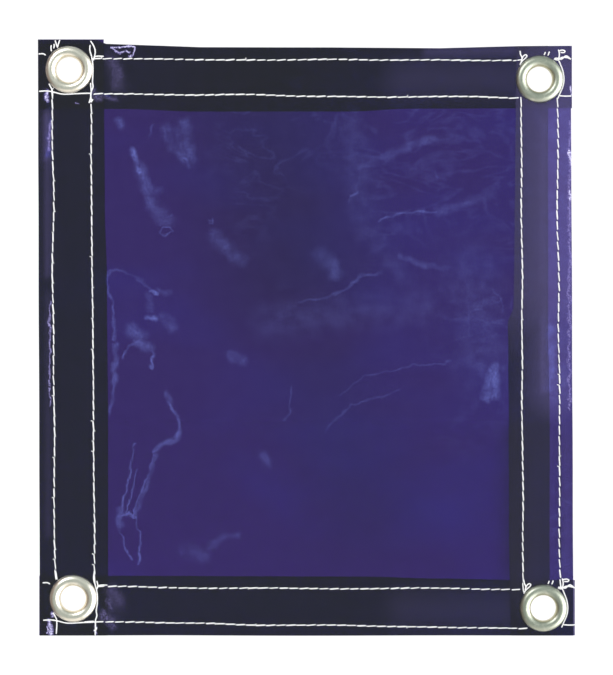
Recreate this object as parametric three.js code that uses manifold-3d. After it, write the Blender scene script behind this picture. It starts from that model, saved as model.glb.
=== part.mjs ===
// Welding curtain panel: one ply of tinted film, a sewn hem strip of the same film along each
// side, two rows of lockstitch in each hem and a two-piece grommet set in each corner.
// Millimetres. +X is to the viewer's right, +Z is up and the front faces -Y.
// The origin lies midway between the holes of the two top grommets, where the panel hangs.

import * as THREE from 'three';
import { mergeVertices } from 'three/addons/utils/BufferGeometryUtils.js';
import Module from 'manifold-3d';

const wasm = await Module();
wasm.setup();

// ---- Overall size: the outline that the four sides share

const PANEL_WIDTH = 266.4;
const PANEL_HEIGHT = 294.6;

// ---- Film

const FILM_THICKNESS = 0.4;
const PLY_GAP = 0.1;

// The sheet stops inside the right hem, so the outer part of that hem is the strip alone.
const SHEET_SHORTFALL = 12;

// Each strip runs the length of its side. start and end are its two ends: bottom and top for
// the left and right strips, left and right for the top and bottom ones. outer and inner say how
// far each long edge is set in from its true line at that end, and past how far it overshoots.
const STRIPS = {
  left: {
    width: 32.3,
    start: { outer: 0.4, inner: 0, past: 0 },
    end: { outer: -0.6, inner: 0, past: 3.4 },
  },
  right: {
    width: 28.6,
    start: { outer: -0.7, inner: 1.6, past: 0 },
    end: { outer: 0.7, inner: -1.6, past: 0 },
  },
  top: {
    width: 31.7,
    start: { outer: -0.8, inner: 0, past: 0 },
    end: { outer: 0.3, inner: 0, past: 0 },
  },
  bottom: {
    width: 29.1,
    start: { outer: 0, inner: 0, past: 0 },
    end: { outer: 0, inner: 0, past: 1.5 },
  },
};

// ---- Seams

const THREAD_DIAMETER = 0.8;
const THREAD_GAP = 0.1;
const THREAD_SIDES = 8;
const THREAD_CROSSING_GAP = 0.3;
const THREAD_TO_FLANGE_GAP = 0.5;
const THREAD_TO_WASHER_GAP = 0.5;

// An outer row is set in from the side's outer edge, and an inner row is set back from the
// strip's inner edge, by the distance given for each end.
const SEAM_ROWS = {
  left: { outer: { start: 8.4, end: 6.4 }, inner: { start: 4.3, end: 6.5 } },
  right: { outer: { start: 5.6, end: 7.5 }, inner: { start: 5.8, end: 1.4 } },
  top: { outer: { start: 6.1, end: 7.1 }, inner: { start: 8.2, end: 5.5 } },
  bottom: { outer: { start: 7.4, end: 3.2 }, inner: { start: 4.2, end: 6.3 } },
};

// ---- Grommets: an eyelet whose flange is the front face, and a washer under its curled end

const BORE_DIAMETER = 12.7;
const METAL_THICKNESS = 0.5;
const FLANGE_DIAMETER = 23.8;
const FLANGE_HEIGHT = 2.4;
const CURL_DIAMETER = 18.4;
const CURL_HEIGHT = 1.5;
const WASHER_DIAMETER = 23.2;
const WASHER_THICKNESS = 0.6;
const WASHER_DISH = 0.3;
const CURL_TO_FLAT_GAP = 0.4;
const BARREL_TO_WASHER_GAP = 0.3;
const BARREL_TO_FILM_GAP = 0.4;
const SEAT_GAP = 0.1;
const ROUND_SEGMENTS = 32;
const FLANGE_ARC_STEPS = 6;
const CURL_ARC_STEPS = 4;

// How far each hole's centre is set in from the side edge and from the top or bottom edge.
const GROMMETS = {
  top_left: { side: 'left', across: 14.9, level: 'top', along: 11.7 },
  top_right: { side: 'right', across: 16.3, level: 'top', along: 16.5 },
  bottom_left: { side: 'left', across: 17.0, level: 'bottom', along: 18.6 },
  bottom_right: { side: 'right', across: 14.4, level: 'bottom', along: 13.8 },
};

// ---- Sizes that follow

const BORE_RADIUS = BORE_DIAMETER / 2;
const BARREL_RADIUS = BORE_RADIUS + METAL_THICKNESS;
const FLANGE_RADIUS = FLANGE_DIAMETER / 2;
const CURL_RADIUS = CURL_DIAMETER / 2;
const WASHER_RADIUS = WASHER_DIAMETER / 2;
const THREAD_RADIUS = THREAD_DIAMETER / 2;
const FILM_HOLE_RADIUS = BARREL_RADIUS + BARREL_TO_FILM_GAP;

// The side strips lie in front of the sheet, and the top and bottom strips lie behind it.
const STRIP_OFFSET = FILM_THICKNESS + PLY_GAP;
const STACK_FACE = STRIP_OFFSET + FILM_THICKNESS / 2;

// ---- Materials

const filmMaterial = new THREE.MeshStandardMaterial({
  color: 0x3a2f68, roughness: 0.12, metalness: 0, transparent: true, opacity: 0.8,
});
const stripMaterial = new THREE.MeshStandardMaterial({
  color: 0x2b2d3a, roughness: 0.15, metalness: 0, transparent: true, opacity: 0.85,
});
const threadMaterial = new THREE.MeshStandardMaterial({
  color: 0xe6e5e2, roughness: 0.85, metalness: 0,
});
const nickelMaterial = new THREE.MeshStandardMaterial({
  color: 0xc9c8bd, roughness: 0.28, metalness: 1,
});

// ---- Places on the panel

const SIDE_LENGTH = {
  left: PANEL_HEIGHT, right: PANEL_HEIGHT, top: PANEL_WIDTH, bottom: PANEL_WIDTH,
};

// A point on the panel from its side: along runs up or to the right, and depth runs inwards.
function sidePoint(side, along, depth) {
  if (side === 'left') return new THREE.Vector2(depth, along);
  if (side === 'right') return new THREE.Vector2(PANEL_WIDTH - depth, along);
  if (side === 'top') return new THREE.Vector2(along, PANEL_HEIGHT - depth);
  return new THREE.Vector2(along, depth);
}

function grommetCentre({ side, across, level, along }) {
  const x = sidePoint(side, 0, across).x;
  const z = sidePoint(level, 0, along).y;
  return new THREE.Vector2(x, z);
}

const centres = Object.fromEntries(
  Object.entries(GROMMETS).map(([corner, place]) => [corner, grommetCentre(place)]),
);
const hangPoint = centres.top_left.clone().add(centres.top_right).multiplyScalar(0.5);

// ---- Solids

function toManifold(geometry) {
  const bare = geometry.index ? geometry.toNonIndexed() : geometry.clone();
  bare.deleteAttribute('normal');
  bare.deleteAttribute('uv');
  const merged = mergeVertices(bare, 1e-4);
  return new wasm.Manifold(new wasm.Mesh({
    numProp: 3,
    vertProperties: new Float32Array(merged.attributes.position.array),
    triVerts: new Uint32Array(merged.index.array),
  }));
}

function toGeometry(solid) {
  const mesh = solid.getMesh();
  const geometry = new THREE.BufferGeometry();
  geometry.setAttribute('position', new THREE.BufferAttribute(mesh.vertProperties, 3));
  geometry.setIndex(new THREE.BufferAttribute(mesh.triVerts, 1));
  geometry.computeVertexNormals();
  return geometry;
}

// A flat ply with the given outline, its middle at the given depth behind the sheet's middle.
function plyGeometry(outline, depth) {
  const shape = new THREE.Shape(outline);
  const geometry = new THREE.ExtrudeGeometry(shape, {
    depth: FILM_THICKNESS, bevelEnabled: false,
  });
  geometry.translate(0, 0, -FILM_THICKNESS / 2);
  geometry.rotateX(Math.PI / 2);
  return geometry.translate(0, depth, 0);
}

// A punch through every ply, long enough to run past both faces of the stack.
function punch(centre) {
  const length = 4 * STACK_FACE;
  const geometry = new THREE.CylinderGeometry(
    FILM_HOLE_RADIUS, FILM_HOLE_RADIUS, length, ROUND_SEGMENTS,
  );
  return toManifold(geometry.translate(centre.x, 0, centre.y));
}

const punches = Object.fromEntries(
  Object.entries(centres).map(([corner, centre]) => [corner, punch(centre)]),
);

function punched(geometry, corners) {
  let solid = toManifold(geometry);
  for (const corner of corners) solid = solid.subtract(punches[corner]);
  return toGeometry(solid);
}

function stripOutline(side) {
  const { width, start, end } = STRIPS[side];
  const length = SIDE_LENGTH[side];
  return [
    sidePoint(side, -start.past, start.outer),
    sidePoint(side, length + end.past, end.outer),
    sidePoint(side, length + end.past, width + end.inner),
    sidePoint(side, -start.past, width + start.inner),
  ];
}

function sheetOutline() {
  const { left, top, bottom } = STRIPS;
  const right = PANEL_WIDTH - SHEET_SHORTFALL;
  return [
    new THREE.Vector2(left.start.outer, bottom.start.outer),
    new THREE.Vector2(right, bottom.end.outer),
    new THREE.Vector2(right, PANEL_HEIGHT - top.end.outer),
    new THREE.Vector2(left.end.outer, PANEL_HEIGHT - top.start.outer),
  ];
}

// Half an ellipse across the flange or the curl, from its rim in to the bore.
function archPoints(rimRadius, inset, height, faceLevel, direction, steps) {
  const middle = (rimRadius + BORE_RADIUS) / 2;
  const halfWidth = (rimRadius - BORE_RADIUS) / 2 - inset;
  return Array.from({ length: steps + 1 }, (_, i) => {
    const angle = (Math.PI * i) / steps;
    return new THREE.Vector2(
      middle + halfWidth * Math.cos(angle),
      direction * (faceLevel + (height - inset) * Math.sin(angle)),
    );
  });
}

// One pressed shell: the flange arches over the front, the barrel passes through the film and
// its end curls out over the washer. The lathe turns about Y, which is the axis of the hole.
function eyeletGeometry() {
  const flangeLevel = STACK_FACE + SEAT_GAP;
  const curlLevel = STACK_FACE + 2 * SEAT_GAP + WASHER_THICKNESS;
  const front = (inset, steps) => (
    archPoints(FLANGE_RADIUS, inset, FLANGE_HEIGHT, flangeLevel, -1, steps)
  );
  const back = (inset, steps) => (
    archPoints(CURL_RADIUS, inset, CURL_HEIGHT, curlLevel, 1, steps).reverse()
  );
  const skin = [...front(0, FLANGE_ARC_STEPS), ...back(0, CURL_ARC_STEPS)];
  const lining = [
    ...front(METAL_THICKNESS, FLANGE_ARC_STEPS), ...back(METAL_THICKNESS, CURL_ARC_STEPS),
  ];
  const profile = [...lining, ...skin.reverse(), lining[0].clone()];
  return new THREE.LatheGeometry(profile, ROUND_SEGMENTS);
}

// The washer's back is flat outside the curl and dished towards the barrel under it.
function washerGeometry() {
  const bore = BARREL_RADIUS + BARREL_TO_WASHER_GAP;
  const flat = CURL_RADIUS + CURL_TO_FLAT_GAP;
  const near = STACK_FACE + SEAT_GAP;
  const far = near + WASHER_THICKNESS;
  const corners = [
    [bore, near], [WASHER_RADIUS, near], [WASHER_RADIUS, far],
    [flat, far], [bore, far - WASHER_DISH], [bore, near],
  ];
  const profile = corners.map(([radius, level]) => new THREE.Vector2(radius, level));
  return new THREE.LatheGeometry(profile, ROUND_SEGMENTS);
}

// ---- Seam rows

function seamDepth(side, row, end) {
  const distance = SEAM_ROWS[side][row][end];
  return row === 'outer' ? distance : STRIPS[side].width + STRIPS[side][end].inner - distance;
}

// The row's whole line from one end of its side to the other.
function seamLine(side, row) {
  return new THREE.Line3(
    new THREE.Vector3(...sidePoint(side, 0, seamDepth(side, row, 'start')), 0),
    new THREE.Vector3(...sidePoint(side, SIDE_LENGTH[side], seamDepth(side, row, 'end')), 0),
  );
}

// The closest that a thread comes to a grommet's centre, on the front (-1) or the back (1).
function grommetReach(face) {
  const metal = face < 0
    ? FLANGE_RADIUS + THREAD_TO_FLANGE_GAP : WASHER_RADIUS + THREAD_TO_WASHER_GAP;
  return metal + THREAD_RADIUS;
}

// The distances along a line between which a grommet blocks it.
function blockedSpan(line, centre, reach) {
  const target = new THREE.Vector3(centre.x, centre.y, 0);
  const nearest = line.closestPointToPoint(target, true, new THREE.Vector3());
  const miss = nearest.distanceTo(target);
  if (miss >= reach) return null;
  const middle = nearest.distanceTo(line.start);
  const half = Math.sqrt(reach ** 2 - miss ** 2);
  return [middle - half, middle + half];
}

// Where another row crosses this one, as a distance from this row's start.
function crossing(line, other) {
  const along = line.delta(new THREE.Vector3());
  const across = other.delta(new THREE.Vector3());
  const between = other.start.clone().sub(line.start);
  const turn = along.x * across.y - along.y * across.x;
  return (along.length() * (between.x * across.y - between.y * across.x)) / turn;
}

// The stretch that a row's thread covers. Every row runs clear of the grommets. The top and
// bottom inner rows also stop short of the inner side rows, which they would cross.
function threadSpan(side, row, face) {
  const line = seamLine(side, row);
  const length = line.distance();
  let from = 0;
  let to = length;
  for (const centre of Object.values(centres)) {
    const blocked = blockedSpan(line, centre, grommetReach(face));
    if (blocked && blocked[0] + blocked[1] < length) from = Math.max(from, blocked[1]);
    if (blocked && blocked[0] + blocked[1] >= length) to = Math.min(to, blocked[0]);
  }
  if (row === 'inner' && (side === 'top' || side === 'bottom')) {
    const gap = THREAD_DIAMETER + THREAD_CROSSING_GAP;
    from = Math.max(from, crossing(line, seamLine('left', 'inner')) + gap);
    to = Math.min(to, crossing(line, seamLine('right', 'inner')) - gap);
  }
  return [line.at(from / length, new THREE.Vector3()), line.at(to / length, new THREE.Vector3())];
}

// face is -1 for the needle thread on the front and 1 for the bobbin thread on the back.
function threadMesh(side, row, face) {
  const [from, to] = threadSpan(side, row, face);
  const run = to.clone().sub(from);
  const geometry = new THREE.CylinderGeometry(
    THREAD_RADIUS, THREAD_RADIUS, run.length(), THREAD_SIDES,
  );
  const mesh = new THREE.Mesh(geometry, threadMaterial);
  const middle = from.clone().add(to).multiplyScalar(0.5);
  const level = face * (STACK_FACE + THREAD_GAP + THREAD_RADIUS);
  mesh.position.set(middle.x, level, middle.y);
  mesh.quaternion.setFromUnitVectors(
    new THREE.Vector3(0, 1, 0), new THREE.Vector3(run.x, 0, run.y).normalize(),
  );
  return mesh;
}

// ---- Assembly

const panel = new THREE.Group();
panel.position.set(-hangPoint.x, 0, -hangPoint.y);

function addNamed(name, mesh) {
  mesh.name = name;
  panel.add(mesh);
}

addNamed('curtain_sheet', new THREE.Mesh(
  punched(plyGeometry(sheetOutline(), 0), Object.keys(GROMMETS)), filmMaterial,
));

for (const side of Object.keys(STRIPS)) {
  const inFront = side === 'left' || side === 'right';
  const corners = Object.keys(GROMMETS).filter((corner) => corner.split('_').includes(side));
  const depth = inFront ? -STRIP_OFFSET : STRIP_OFFSET;
  const geometry = punched(plyGeometry(stripOutline(side), depth), corners);
  addNamed(`hem_strip_${side}`, new THREE.Mesh(geometry, stripMaterial));
}

for (const side of Object.keys(SEAM_ROWS)) {
  for (const row of ['outer', 'inner']) {
    addNamed(`needle_thread_${side}_${row}`, threadMesh(side, row, -1));
    addNamed(`bobbin_thread_${side}_${row}`, threadMesh(side, row, 1));
  }
}

for (const [corner, centre] of Object.entries(centres)) {
  const eyelet = new THREE.Mesh(eyeletGeometry(), nickelMaterial);
  const washer = new THREE.Mesh(washerGeometry(), nickelMaterial);
  for (const mesh of [eyelet, washer]) mesh.position.set(centre.x, 0, centre.y);
  addNamed(`grommet_eyelet_${corner}`, eyelet);
  addNamed(`grommet_washer_${corner}`, washer);
}

const group = new THREE.Group();
group.add(panel);

export default group;
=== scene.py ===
"""Looks of a small hanging welding curtain panel: tinted film, sewn hems and set grommets."""

import math
import random

import bpy
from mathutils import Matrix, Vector, noise


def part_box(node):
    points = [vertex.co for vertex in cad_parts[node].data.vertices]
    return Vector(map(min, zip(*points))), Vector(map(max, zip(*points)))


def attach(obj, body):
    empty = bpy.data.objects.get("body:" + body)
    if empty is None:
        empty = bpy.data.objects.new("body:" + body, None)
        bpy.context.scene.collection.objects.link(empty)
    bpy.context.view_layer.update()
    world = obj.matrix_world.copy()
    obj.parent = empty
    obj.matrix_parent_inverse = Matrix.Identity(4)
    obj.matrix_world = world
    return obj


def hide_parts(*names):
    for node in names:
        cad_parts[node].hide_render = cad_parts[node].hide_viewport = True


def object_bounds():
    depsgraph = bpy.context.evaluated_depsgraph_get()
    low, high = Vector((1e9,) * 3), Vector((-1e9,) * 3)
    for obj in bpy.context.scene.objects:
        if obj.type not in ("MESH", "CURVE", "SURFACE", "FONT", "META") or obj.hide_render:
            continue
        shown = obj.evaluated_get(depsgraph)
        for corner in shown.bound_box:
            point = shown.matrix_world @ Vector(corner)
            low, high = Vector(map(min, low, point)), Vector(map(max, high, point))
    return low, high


bl_info = {
    "name": "Welding Curtain Panel",
    "version": (1, 0, 0),
    "blender": (4, 5, 0),
    "location": "View3D > Sidebar > Curtain",
    "description": "Builds the film, hems, seams and grommets of a welding curtain panel",
    "category": "Object",
}

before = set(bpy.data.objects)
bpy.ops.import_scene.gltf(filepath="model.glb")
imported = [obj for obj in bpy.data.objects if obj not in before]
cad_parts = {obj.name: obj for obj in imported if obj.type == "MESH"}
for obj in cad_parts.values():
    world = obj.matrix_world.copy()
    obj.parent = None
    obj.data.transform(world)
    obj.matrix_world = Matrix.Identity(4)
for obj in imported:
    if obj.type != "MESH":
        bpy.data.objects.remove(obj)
CAD_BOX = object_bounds()

MM = 0.001
SIDES = ("left", "right", "top", "bottom")
ROWS = ("outer", "inner")
CORNERS = ("top_left", "top_right", "bottom_left", "bottom_right")

BACKGROUND_WHITE = 1.06

# Creases that handling has left in the film, painted pale as highlights where they catch the
# light, in millimetres on the panel's face: (half width, strength, points along the crease as (x,
# z)).
CREASE_HIGHLIGHTS = (
    # Handling marks under the top left grommet.
    (3.2, 0.5, ((-92.5, -23.5), (-91.5, -25.5))),
    (2.4, 0.85, ((-86, -38), (-84, -43), (-82.5, -49))),
    (4.6, 0.44, ((-82.5, -46), (-78, -58.5), (-76, -66))),
    (6, 0.26, ((-76, -64), (-69, -73))),
    (3, 0.3, ((-77, -61), (-72, -58))),
    (4, 0.3, ((-69, -26.5), (-66.5, -35.5), (-59, -43))),
    (5, 0.32, ((-60, -24.5), (-58, -36), (-57, -43))),
    (4, 0.22, ((-64, -28), (-61, -38))),
    (2, 0.55, ((-59, -42), (-58, -46))),
    (0.8, 0.4, ((-70.5, -26), (-69.5, -30), (-67, -37.5))),
    (1, 0.3, ((-75.5, -26), (-77.5, -31))),
    (0.7, 0.55, ((-72.5, -79), (-70.5, -77), (-67, -77), (-66, -79.5),
                 (-69.5, -80), (-72.5, -79))),
    (0.8, 0.3, ((-66, -70), (-72, -75.5))),
    (0.8, 0.45, ((-47, -72.5), (-46, -72), (-46, -74), (-47, -74))),
    (5.5, 0.3, ((-45, -81), (-39, -86.5), (-32, -92.5))),
    # The bent patch half way down the left side.
    (1, 0.45, ((-99, -102.5), (-95.5, -115.5), (-95, -133))),
    (1.1, 0.32, ((-99, -102.5), (-97, -98), (-90.5, -98))),
    (0.9, 0.32, ((-90.5, -98), (-80, -104), (-75, -109))),
    (1.4, 0.85, ((-76, -108.5), (-74, -109.5))),
    (2, 0.35, ((-73, -108), (-67, -109.5))),
    (3, 0.3, ((-78, -111), (-77, -117))),
    (2.6, 0.9, ((-78.5, -121.5), (-75, -122))),
    (4.5, 0.3, ((-70.5, -121.5), (-65.5, -126))),
    (5.5, 0.45, ((-86.5, -128), (-82.5, -130.5))),
    (1.1, 0.6, ((-91, -142), (-88, -136), (-83, -134.5))),
    (3.8, 0.85, ((-83, -134.5), (-77, -136.5))),
    (1.1, 0.7, ((-77, -136), (-75, -140), (-76.5, -146.5))),
    (2.4, 0.45, ((-94, -135.5), (-95, -155))),
    (1.3, 0.35, ((-95, -155), (-97, -170))),
    # The two long creases below it, which meet and part again.
    (2, 0.4, ((-69, -159.5), (-67, -164.5))),
    (1.3, 0.5, ((-67, -164.5), (-63, -171.5), (-62.5, -178.5))),
    (2.2, 0.55, ((-62.5, -178.5), (-64.5, -183), (-71, -184.5), (-75, -189))),
    (0.8, 0.62, ((-75, -189), (-78, -199.5), (-83, -212.5), (-86, -221.5))),
    (2, 0.36, ((-74, -190), (-77.5, -200), (-84.5, -221))),
    (0.7, 0.5, ((-85, -184.5), (-86.5, -196.5))),
    (0.8, 0.6, ((-86.5, -196.5), (-89.5, -209.5), (-92, -221.5))),
    (0.7, 0.5, ((-83.5, -198), (-87.5, -213), (-90, -221))),
    (2.8, 0.6, ((-92.5, -218), (-92, -226))),
    (1.6, 0.55, ((-92.5, -222), (-87.5, -219), (-84.5, -221.5))),
    (0.8, 0.42, ((-92.5, -227), (-89.5, -236))),
    (0.8, 0.55, ((-89.5, -236), (-86.5, -242.5))),
    (0.8, 0.42, ((-84.5, -223), (-82, -230))),
    (0.8, 0.55, ((-82, -230), (-82, -237.5), (-83.5, -245))),
    # Faint marks across the middle and the right.
    (0.8, 0.28, ((-6.5, -156.5), (-8, -170), (-10, -173))),
    (4, 0.24, ((-20.5, -190.5), (-18.5, -193.5))),
    (3, 0.22, ((-47.5, -236), (-40.5, -231), (-33, -230))),
    (6, 0.18, ((-59.5, -238), (-50.5, -240.5))),
    (4, 0.26, ((-37, -140.5), (-30.5, -143))),
    (0.8, 0.22, ((25.5, -34), (29.5, -45.5), (25.5, -58), (22, -63.5))),
    (1.3, 0.6, ((23.5, -60.5), (26.5, -58.5))),
    (1.1, 0.42, ((37, -73), (44, -70.5), (59, -68.5), (66.5, -68.5))),
    (4, 0.22, ((66.5, -68.5), (81, -64.5), (94, -59))),
    (3.5, 0.22, ((27.5, -47), (44, -39.5), (59, -33), (77.5, -32))),
    (1.1, 0.36, ((66, -48.5), (66.5, -52))),
    (1.4, 0.3, ((-2, -113.5), (9, -113), (20, -108), (27.5, -101), (38.5, -99))),
    (6, 0.36, ((9, -89.5), (15.5, -99))),
    (2.4, 0.26, ((48, -90.5), (59, -95), (72, -97))),
    (0.8, 0.36, ((94, -106.5), (98, -112), (100, -118.5))),
    (1.1, 0.22, ((89.5, -104.5), (89.5, -130.5))),
    (1.1, 0.22, ((82, -104.5), (82, -130.5))),
    (4.2, 0.62, ((93, -148.5), (91, -161.5))),
    (4, 0.66, ((95.5, -146), (95.5, -161))),
    (24, 0.15, ((84, -98), (92, -146))),
    (14, 0.13, ((-18, -124), (22, -119), (60, -116))),
    (12, 0.12, ((24, -27), (31, -76))),
    (8, 0.1, ((31, -76), (52, -104))),
    (0.8, 0.22, ((18, -160.5), (30.5, -150.5), (55.5, -145.5), (73, -144))),
    (0.9, 0.2, ((10.5, -178), (23, -165.5), (48, -158))),
    # Along the hems.
    (3.4, 0.5, ((122.5, -127), (123.5, -142), (122.5, -157))),
    (2.4, 0.9, ((-129.5, -8.5), (-127.5, -17))),
    (2.4, 0.85, ((-127.5, -23), (-127.5, -31), (-128, -41))),
    (1.4, 0.8, ((-105, -3), (-105, -7.5))),
    (1.4, 0.8, ((-103.5, -9.5), (-97, -10.5))),
    (1.4, 0.5, ((-129, -258), (-129, -266.5))),
    (1.4, 0.8, ((-103, -266), (-102.5, -268))),
    (1.4, 0.6, ((-118.5, -274), (-114.5, -275.5))),
)

# Broad pale patches, given in the same way for each ply that has them: painted light along the
# strips' outer edges, where the folded edge is lit brighter, and faint pale patches on the sheet.
HAZES_AND_HIGHLIGHTS = {
    # Painted light along the right strip's outer part.
    "hem_strip_right": (
        (56, 1.0, ((132, -8), (132, -105))),
        (5, 1.3, ((119.8, -22), (119.8, -105))),
        (26, 0.78, ((126, -112), (126, -158))),
        (6, 1.05, ((119.8, -112), (119.8, -158))),
        (34, 0.2, ((117, -175), (115, -250))),
        (7, 0.34, ((131, -175), (131, -250))),
    ),
    # Painted highlight along the left strip's folded edge.
    "hem_strip_left": (
        (3.6, 0.8, ((-128.4, -20), (-128.4, -42))),
        (3.4, 0.45, ((-128.2, -42), (-128, -100))),
        (3.2, 0.22, ((-127.8, -110), (-127.8, -230))),
    ),
    "curtain_sheet": (
        (17, 0.24, ((50, -2), (108, -1))),
        (16, 0.2, ((50, -267), (104, -268))),
        (5, 0.46, ((62, 11), (106, 12))),
        (7, 0.16, ((-97, 8), (-92, -6))),
        (7, 0.14, ((-98, -258), (-92, -268))),
    ),
}

# Broad places where the film is painted darker, given in the same way: two patches across the
# middle, and a painted shadow of the right strip's inner edge.
DARKER_PATCHES_AND_SHADE = (
    (72, 0.38, ((-18, -12), (-4, -92))),
    (50, 0.2, ((8, -150), (28, -215))),
    # A painted shadow of the right strip's inner edge.
    (13, 0.36, ((105, -182), (105.5, -252))),
)

# How far each strip's inner edge strays inwards from a straight cut, and the sheet's right edge
# outwards, in millimetres: (distance along the edge from its lower or left end as a share, how
# far).
EDGE_STRAYS = {
    "sheet": ((0, 0.8), (0.35, 0.8), (0.55, 0), (1, 0)),
    "left": ((0, 1.5), (0.1, 2.2), (0.35, 2.2), (0.6, 1.6), (0.72, 0.6), (1, 0)),
    "right": ((0, 0.6), (0.2, 2), (0.35, 2.6), (0.48, 3.2), (0.53, 3.6), (0.56, 0.8), (1, 0.8)),
    "top": ((0, -0.4), (0.15, -0.4), (0.3, 0.9), (0.58, 0.9), (0.7, -0.6), (1, -0.8)),
    "bottom": ((0, 0.8), (0.6, 0.4), (0.75, -0.6), (0.9, -1.4), (1, -1.4)),
}

# White marks over the gloss, given in the same way: a painted glint above the top left grommet,
# painted highlights along the left and right edges, and scuffs near the left grommets.
SCUFFS_AND_GLINTS = (
    # A painted glint in a curl above the top left grommet.
    (0.8, 0.8, ((-96.5, 12.8), (-92.5, 13.6), (-85.5, 14))),
    (0.8, 0.85, ((-85.2, 14), (-85.6, 10.6), (-87.1, 9.3))),
    (0.7, 0.55, ((-96.6, 12.6), (-93.4, 11.2), (-87.7, 11.2))),
    # Painted highlights along the left edge and at its corners.
    (1.3, 0.7, ((-129, -8), (-128.5, -12.5))),
    (1.3, 0.28, ((-127.5, -24), (-127.5, -38))),
    (1.6, 0.9, ((-127.5, -273), (-126.5, -280))),
    (0.8, 0.8, ((-129, -276), (-128.5, -279))),
    (0.7, 0.36, ((-127.2, -114), (-127, -140), (-127.4, -166))),
    (1.2, 0.75, ((-126, -268.5), (-125.5, -271))),
    (1, 0.8, ((-104.5, -276.5), (-104, -278.5))),
    # Painted highlights along the right edge.
    (0.9, 0.95, ((133.2, -6), (133.2, -10.5))),
    (1.2, 0.95, ((133, -38.5), (133.1, -44.5))),
    (0.8, 0.9, ((132.9, -58.5), (132.8, -62.5))),
    (1.2, 0.2, ((132.8, -24), (132.4, -112), (132.6, -168))),
    (5, 0.06, ((-96, 6), (-93.5, 2), (-94, -5))),
    (2.6, 0.08, ((-92.5, 3), (-92, -0.5))),
    (3, 0.14, ((-105.5, -9.5), (-102, -11.5))),
    (1.8, 0.1, ((-99, -11), (-95, -12))),
    (0.7, 0.34, ((-114, -14.8), (-112.5, -15))),
    (5, 0.07, ((-96.5, -257.5), (-92.5, -263))),
    (2.6, 0.09, ((-98, -262.5), (-96.5, -267))),
    (4, 0.14, ((-100.5, -270.5), (-97, -273))),
    (2.4, 0.1, ((-96.5, -273), (-95.5, -277))),
)

# The top edge of the panel, cut by eye, as (x, z) in millimetres. It stands highest behind the
# end of the left strip.
TOP_EDGE = (
    (-133.1, 17.3), (-101.6, 17.2), (-100.6, 15.4), (-84.6, 14.8), (-52, 13.6), (13, 13.6),
    (68, 13.1), (107, 14.2), (133.4, 14.4),
)
# The top strip is lower than that behind the left strip's end.
TOP_STRIP_END = 15.4 * MM

# The seam rows whose stitches stand apart. In the others the thread is drawn up tight.
OPEN_ROWS = (("top", "outer"), ("right", "outer"), ("bottom", "inner"))

# Loose ends of thread about a left-hand and a right-hand grommet, as points in millimetres
# (x, z) from the hole's centre. Each path belongs to one of the four seam rows that meet there.
LEFT_THREAD_ENDS = {
    "side_outer": (
        ((-6.8, 14.4), (-6.3, 12.8), (-5.8, 11.4)),
        ((-4.6, 14.6), (-5.2, 12.8), (-5.7, 11)),
        ((-8.8, 12), (-8.9, 10.6), (-8.7, 9.3)),
        ((-7.4, 12.6), (-7.3, 11.6), (-7.5, 10.8)),
        ((-9.9, -7.2), (-8.9, -9), (-8.2, -10.6), (-8.1, -13.2)),
    ),
    "side_inner": (
        ((10.9, 14.2), (12.3, 12), (13.2, 9.2), (12.9, 6.8), (12.2, 4.6)),
        ((10.6, 12.2), (10.5, 9.6), (11.4, 6.4), (12, 2), (12, -2.3), (11.8, -6.2),
         (12.1, -8.6), (11.2, -11.1), (10.9, -14), (10.1, -16.6)),
        ((11.9, -15), (11.4, -15.8), (10.4, -16.2)),
    ),
    "level_upper": (
        ((-15, 7.8), (-12.9, 7.9), (-11.7, 7.3)),
        ((12.6, 6.4), (14.6, 6.7), (17.2, 6.6)),
    ),
    "level_lower": (
        ((-14.8, -10.9), (-11.4, -10.7), (-8.3, -11.1), (-2.7, -12.3), (5, -12), (11, -11.8)),
    ),
}
BOTTOM_LEFT_THREAD_ENDS = LEFT_THREAD_ENDS | {
    "side_outer": (
        ((-8.6, 13.4), (-8.3, 11.4), (-8, 9.6)),
        ((-9.9, -7.2), (-8.9, -9), (-8.2, -10.6), (-8.1, -13.2), (-8.4, -17.6)),
    ),
    "side_inner": (
        ((10.6, 13.6), (10.3, 9.6), (11.2, 6.4), (12.1, 2), (12.1, -2.3), (11.6, -6.2),
         (11.9, -8.6), (11.2, -11.1), (11.2, -15), (11, -18.4)),
        ((11.9, 8.6), (12.4, 6.6), (12, 4.8)),
        ((11.8, -14.6), (11.4, -15.8), (10.5, -16)),
    ),
}
RIGHT_THREAD_ENDS = {
    "side_inner": (
        ((-9.7, 14), (-9.5, 12.4), (-8.8, 10.8), (-9, 8.9), (-9.7, 7.3)),
        ((-9.1, 9.2), (-8.3, 11.2), (-7, 12.2), (-6.3, 11.5), (-7.2, 10.3), (-8.5, 9.2),
         (-9.6, 7.6)),
    ),
    "side_outer": (
        ((2.4, 12.2), (2.9, 13.4)),
        ((4.3, 12), (4.9, 13.6)),
        ((9.5, 14.6), (9.9, 12.9), (9.8, 11.2), (9.3, 9.8)),
        ((9.9, 14.2), (11.6, 14.5), (12.7, 14), (12.2, 13.3), (10.6, 13.3)),
        ((9.5, 9.6), (10.4, 7.4), (11.6, 4.2), (12.2, 0.3), (11.7, -3.5), (10.2, -7.1),
         (9.2, -9.6)),
    ),
    "level_upper": (
        ((7.4, 10), (9.1, 9.6), (11, 10.8), (13.3, 10.8), (15.6, 10.2)),
        ((7.6, 10.4), (9.1, 10.4), (11, 10), (13.3, 11.6), (15.5, 10)),
    ),
    "level_lower": (((10.2, -8.3), (12.8, -8.5), (15.7, -8.4)),),
}
THREAD_ENDS = {
    "top_left": LEFT_THREAD_ENDS,
    "top_right": RIGHT_THREAD_ENDS,
    "bottom_left": BOTTOM_LEFT_THREAD_ENDS,
    "bottom_right": RIGHT_THREAD_ENDS,
}


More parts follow.
